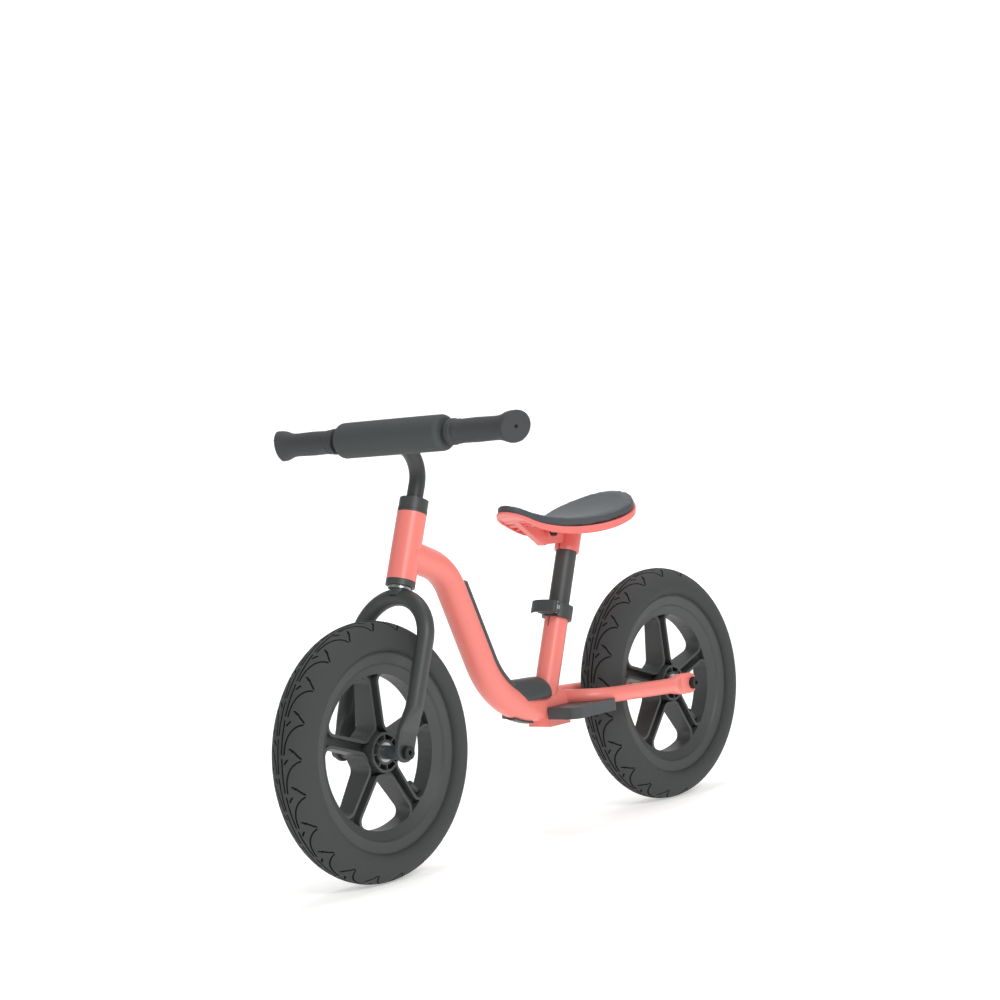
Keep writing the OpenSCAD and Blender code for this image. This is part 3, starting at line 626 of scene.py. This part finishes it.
    def build(self) -> bpy.types.Object:
        """Wraps the tiles round the wheel and closes the tyre at the rim."""
        tile = self.tile()
        flat = bpy.data.meshes.new("tile")
        tile.to_mesh(flat)
        tile.free()
        low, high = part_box(f"{self.end.value}_tyre")
        centre = (low + high) / 2
        mesh = bmesh.new()
        for side in Side:
            offset = self.phase + (0.0 if side is Side.LEFT else 0.5)
            for i in range(self.repeats):
                first = len(mesh.verts)
                mesh.from_mesh(flat)
                mesh.verts.ensure_lookup_table()
                fresh = mesh.verts[first:]
                for vert in fresh:
                    self.wrap(vert, (i + offset) * self.pitch, side, centre)
        bpy.data.meshes.remove(flat)
        bmesh.ops.remove_doubles(mesh, verts=mesh.verts, dist=self.TILE_MERGE * MM)
        rim = [e for e in mesh.edges if e.is_boundary]
        bmesh.ops.bridge_loops(mesh, edges=rim)
        bmesh.ops.recalc_face_normals(mesh, faces=mesh.faces)
        piece = add_piece(f"{self.end.value}_tread_tyre", mesh, sharp=40.0)
        dress(piece, TYRE_RUBBER, GROOVE_PAINTED_SHADE)
        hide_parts(f"{self.end.value}_tyre")
        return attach(piece, f"{self.end.value}_wheel")

    def wrap(self, vert: bmesh.types.BMVert, shift: float, side: Side, centre: Vector) -> None:
        """Moves a point of the flat tile to its place on the tyre."""
        u, v, lift = vert.co
        r, y, nr, ny = self.on_section(v)
        angle = (u + shift) / self.radius
        r, y = (r + nr * lift) * MM, (y + ny * lift) * MM * side.value
        vert.co = centre + Vector((r * math.cos(angle), y, r * math.sin(angle)))


# ---------------------------------------------------------------- handlebar


@dataclass
class Grip:
    """Moulded grip with a ribbed collar and a flared end that is cut on the slant."""

    side: Side
    bore: float = 2.2
    rim: float = 1.6  # rounding of the slanted face's edge
    face_at: float = 180.0  # where the slanted face crosses the bar's axis
    tilt: float = 8.0
    yaw: float = 20.0
    spin_steps: int = 72
    merge: float = 0.001  # distance at which the spun section's ends join
    between_rims: float = 5.0  # a radius between the bore and the flare

    # Distance from the middle of the bike and radius, from the collar to past the flare
    PROFILE = (
        (87.0, 12.0), (87.0, 14.2), (87.6, 15.0), (89.4, 15.0), (90.0, 14.5), (90.6, 15.0),
        (92.4, 15.0), (93.4, 13.9), (95.0, 13.6), (97.6, 13.6), (98.2, 14.1), (99.4, 14.1),
        (100.2, 13.5), (112.0, 13.7), (125.0, 14.0), (138.0, 13.7), (150.0, 13.5), (155.0, 13.6),
        (159.0, 14.0), (163.0, 14.9), (166.0, 15.9), (169.0, 16.9), (172.0, 17.6), (175.0, 17.9),
        (180.0, 18.0), (190.0, 18.0), (206.0, 18.0),
    )
    BAND_SIDES = 6  # a face with more sides is the section itself, left inside by the spin

    def build(self) -> bpy.types.Object:
        """Spins the profile, cuts the slanted face and rounds its rim."""
        low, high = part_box("cross_bar")
        centre = (low + high) / 2
        mesh = bmesh.new()
        outer = [(r, y) for y, r in self.PROFILE]
        ring = outer + [(self.bore, self.PROFILE[-1][0]), (self.bore, self.PROFILE[0][0])]
        section = closed_profile(mesh, [(r, y, 0) for r, y in ring])
        bmesh.ops.spin(
            mesh, geom=[section, *section.edges, *section.verts], cent=(0, 0, 0), axis=(0, 1, 0),
            angle=2 * math.pi, steps=self.spin_steps, use_merge=True, use_duplicate=False,
        )
        inner = [f for f in mesh.faces if len(f.verts) > self.BAND_SIDES]
        bmesh.ops.delete(mesh, geom=inner, context="FACES_ONLY")
        bmesh.ops.remove_doubles(mesh, verts=mesh.verts, dist=self.merge * MM)
        turned = Matrix.Rotation(math.radians(-self.yaw), 3, "Z")
        tilted = Matrix.Rotation(math.radians(-self.tilt), 3, "X")
        cut = bmesh.ops.bisect_plane(
            mesh,
            geom=[*mesh.verts, *mesh.edges, *mesh.faces],
            plane_co=(0, self.face_at * MM, 0),
            plane_no=turned @ tilted @ Vector((0, 1, 0)),
            clear_outer=True,
        )
        rims = [g for g in cut["geom_cut"] if isinstance(g, bmesh.types.BMEdge)]
        bmesh.ops.bridge_loops(mesh, edges=rims)
        reach = self.between_rims * MM
        flare = [e for e in rims if e.is_valid and e.verts[0].co.xz.length > reach]
        bmesh.ops.bevel(
            mesh, geom=flare, offset=self.rim * MM, segments=3,
            profile=0.5, affect="EDGES", material=-1,
        )
        if self.side is Side.RIGHT:
            bmesh.ops.scale(mesh, vec=(1, -1, 1), verts=mesh.verts)
        bmesh.ops.translate(mesh, vec=centre, verts=mesh.verts)
        bmesh.ops.recalc_face_normals(mesh, faces=mesh.faces)
        name = f"grip_{self.side.name.lower()}"
        piece = dress(add_piece(f"{name}_moulded", mesh, sharp=40.0), GRIP_RUBBER)
        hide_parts(name)
        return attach(piece, "handlebar")


@dataclass
class BarPad:
    """Foam pad that is slit along its lower rear side and clipped over the bar."""

    length: float = 158.4
    radius: float = 20.6
    bore: float = 10.15
    rounding: float = 6.0
    slit: float = 1.4  # degrees of the slit
    slit_at: float = 245.0  # direction of the slit round the bar
    crown: float = 0.1  # how much thicker the middle is
    crown_half: float = 40.0  # where the crown is at its ends
    spin_steps: int = 96

    def section(self) -> list[tuple[float, float]]:
        """Half section of the pad as (radius, distance along the bar), a little crowned."""
        half, edge = self.length / 2, self.rounding
        ends = arc_points((self.radius - edge, half - edge), (edge, edge), 0, 90, 8)
        mirrored = [(r, -y) for r, y in reversed(ends)]
        middle = [
            (self.radius + self.crown * math.cos(math.pi * y / self.length), y)
            for y in (-self.crown_half, 0, self.crown_half)
        ]
        return [(self.bore, -half), *mirrored, *middle, *ends, (self.bore, half)]

    def build(self) -> bpy.types.Object:
        """Spins the section almost all the way round, so that the slit stays open."""
        low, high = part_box("cross_bar")
        mesh = bmesh.new()
        section = closed_profile(mesh, [(r, y, 0) for r, y in self.section()])
        bmesh.ops.spin(
            mesh, geom=[section, *section.edges, *section.verts], cent=(0, 0, 0), axis=(0, 1, 0),
            angle=math.radians(360 - self.slit), steps=self.spin_steps,
        )
        turn = Matrix.Rotation(math.radians(self.slit_at), 3, "Y")
        bmesh.ops.rotate(mesh, cent=(0, 0, 0), matrix=turn, verts=mesh.verts)
        bmesh.ops.translate(mesh, vec=(low + high) / 2, verts=mesh.verts)
        bmesh.ops.recalc_face_normals(mesh, faces=mesh.faces)
        piece = dress(add_piece("bar_pad_foam", mesh, sharp=50.0), PAD_FOAM)
        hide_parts("bar_pad")
        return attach(piece, "handlebar")


# ---------------------------------------------------------------- seat


@dataclass
class SeatPad:
    """Padded skin of the seat, crowned over its shell."""

    voxel: float = 2.0
    pressure: float = 3.0
    cap: float = 1.6

    def build(self) -> bpy.types.Object:
        """Swells a copy of the plain pad, which keeps its outline on the shell."""
        piece = copy_of_node("seat_pad", "seat_pad_skin")
        swell(piece, self.voxel, self.pressure, self.cap)
        dress(piece, SEAT_SKIN)
        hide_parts("seat_pad")
        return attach(piece, "seat")


# ---------------------------------------------------------------- moulded and pressed pieces


@dataclass(frozen=True)
class RoundedPart:
    """A CAD node whose edges are rounded as its mould or press leaves them."""

    node: str
    body: str
    slot: str
    finish: Finish
    voxel: float
    rounds: int

    def build(self) -> bpy.types.Object:
        """Makes the rounded copy that stands for the node."""
        piece = soften(copy_of_node(self.node, f"{self.node}_rounded"), self.voxel, self.rounds)
        dress(piece, self.finish)
        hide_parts(self.node)
        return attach(piece, self.body)


ROUNDED = (
    RoundedPart("fork_tube", "fork", "steering_paint", GRAPHITE_POWDER_COAT, 1.1, 12),
    RoundedPart("chainstays", "frame", "frame_paint", CORAL_POWDER_COAT, 1.1, 12),
    RoundedPart("saddle_cover", "frame", "cover_plastic", COVER_POLYPROPYLENE, 0.9, 10),
    RoundedPart("clamp_lever", "clamp_lever", "cover_plastic", COVER_POLYPROPYLENE, 0.5, 6),
)

FINISH_OF_SLOT = {
    "frame_paint": CORAL_POWDER_COAT,
    "steering_paint": GRAPHITE_POWDER_COAT,
    "cover_plastic": COVER_POLYPROPYLENE,
    "wheel_plastic": MOULDED_NYLON,
    "seat_plastic": CORAL_POLYPROPYLENE,
    "seat_cover": SEAT_SKIN,
    "pad_foam": PAD_FOAM,
    "grip_rubber": GRIP_RUBBER,
    "tyre_rubber": TYRE_RUBBER,
    "tube_rubber": GROOVE_PAINTED_SHADE,
    "steel": ZINC_STEEL,
    "steel_black": BLACK_OXIDE,
}


def dress_frame(frame: dict[str, object]) -> None:
    """Gives every CAD node the finish of its material slot."""
    for part in frame["record"]["subparts"]:
        dress(frame["nodes"][part["node"]], FINISH_OF_SLOT[part["material_slot"]])


# ---------------------------------------------------------------- studio


@dataclass(frozen=True)
class SoftLight:
    """Square soft light. Its places and its size are in metres, and its power is in watts."""

    name: str
    place: tuple[float, float, float]
    size: float  # length of its side
    power: float
    aim: tuple[float, float, float] = (0.0, 0.0, 0.25)  # the bike

    def build(self) -> None:
        """Adds the light to the scene."""
        data = bpy.data.lights.new(self.name, "AREA")
        data.shape, data.size, data.energy = "SQUARE", self.size, self.power
        light = bpy.data.objects.new(self.name, data)
        light.location = self.place
        ahead = Vector(self.aim) - Vector(self.place)
        light.rotation_euler = ahead.to_track_quat("-Z", "Y").to_euler()
        bpy.context.scene.collection.objects.link(light)


@dataclass
class Studio:
    """Camera, floor and soft lights."""

    camera_at: tuple[float, float, float] = (2351.4, 1962.8, 517.4)
    looks_at: tuple[float, float, float] = (11.5, 0.0, 404.4)
    roll: float = -5.35
    lens: float = 92.93  # focal length for the sensor below
    sensor: float = 36.0
    sees_to: float = 100.0  # metres
    room: float = 0.28  # strength of the light from all round

    # The floor, in metres from below the bike along the camera's view
    floor_start: float = -8.0
    bend_start: float = 7.0
    bend_radius: float = 4.0
    wall_top: float = 14.0
    half_width: float = 14.0

    LIGHTS = (
        SoftLight("key", (1.5, 2.9, 2.4), 1.4, 74.0),
        SoftLight("fill", (3.2, -1.6, 1.6), 2.0, 6.0),
        SoftLight("top", (-0.6, -0.2, 3.2), 1.6, 44.0),
        SoftLight("backdrop", (-2.9, -2.4, 3.6), 3.0, 130.0, aim=(-6.6, -5.5, 0.8)),
    )

    def build(self) -> None:
        """Sets up everything round the bike."""
        self.camera()
        self.floor()
        self.lights()

    def camera(self) -> None:
        """Places the camera and makes it the scene's."""
        data = bpy.data.cameras.new("camera")
        data.lens, data.sensor_width, data.clip_end = self.lens, self.sensor, self.sees_to
        camera = bpy.data.objects.new("camera", data)
        bpy.context.scene.collection.objects.link(camera)
        place, target = Vector(self.camera_at) * MM, Vector(self.looks_at) * MM
        ahead = (target - place).normalized()
        right = ahead.cross(Vector((0, 0, 1))).normalized()
        up = right.cross(ahead)
        turn = math.radians(self.roll)
        right, up = (
            right * math.cos(turn) + up * math.sin(turn),
            up * math.cos(turn) - right * math.sin(turn),
        )
        turned = Matrix((right, up, -ahead)).transposed().to_4x4()
        camera.matrix_world = Matrix.Translation(place) @ turned
        bpy.context.scene.camera = camera

    def floor(self) -> None:
        """Lays the pale floor, which curves up into a wall behind the bike."""
        mesh = bmesh.new()
        away = (Vector(self.looks_at) - Vector(self.camera_at)).xy.normalized()
        across = Vector((-away.y, away.x))
        radius = self.bend_radius
        bend = arc_points((self.bend_start, radius), (radius, radius), -90, 0, 9)
        wall = (self.bend_start + radius, self.wall_top)
        rows = []
        for reach, height in [(self.floor_start, 0.0), *bend, wall]:
            ends = (away * reach + across * side for side in (-self.half_width, self.half_width))
            rows.append([mesh.verts.new((end.x, end.y, height)) for end in ends])
        for (a, b), (c, d) in zip(rows, rows[1:]):
            mesh.faces.new((b, a, c, d))
        floor = dress(add_piece("floor", mesh, sharp=60.0), PALE_FLOOR)

    def lights(self) -> None:
        """Adds the key light, the fill, the top light and the backdrop's in a dim white room."""
        for light in self.LIGHTS:
            light.build()
        world = bpy.data.worlds.new("room")
        world.use_nodes = True
        background = world.node_tree.nodes["Background"]
        background.inputs[0].default_value = (1.0, 1.0, 1.0, 1.0)
        background.inputs[1].default_value = self.room
        scene = bpy.context.scene
        scene.world = world
        scene.view_settings.view_transform = "Standard"


def main() -> None:
    """Builds the looks and reports each piece."""
    logging.basicConfig(level=logging.INFO, format="%(name)s: %(message)s")
    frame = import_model()
    Studio().build()
    dress_frame(frame)
    makers: list[Callable[[], bpy.types.Object]] = [
        *(TyreTread(end).build for end in End),
        *(Grip(side).build for side in Side),
        BarPad().build,
        SeatPad().build,
        *(part.build for part in ROUNDED),
    ]
    for make in makers:
        piece = make()
        LOG.info("%s: %d faces", piece.name, len(piece.data.polygons))


if __name__ == "__main__":
    main()
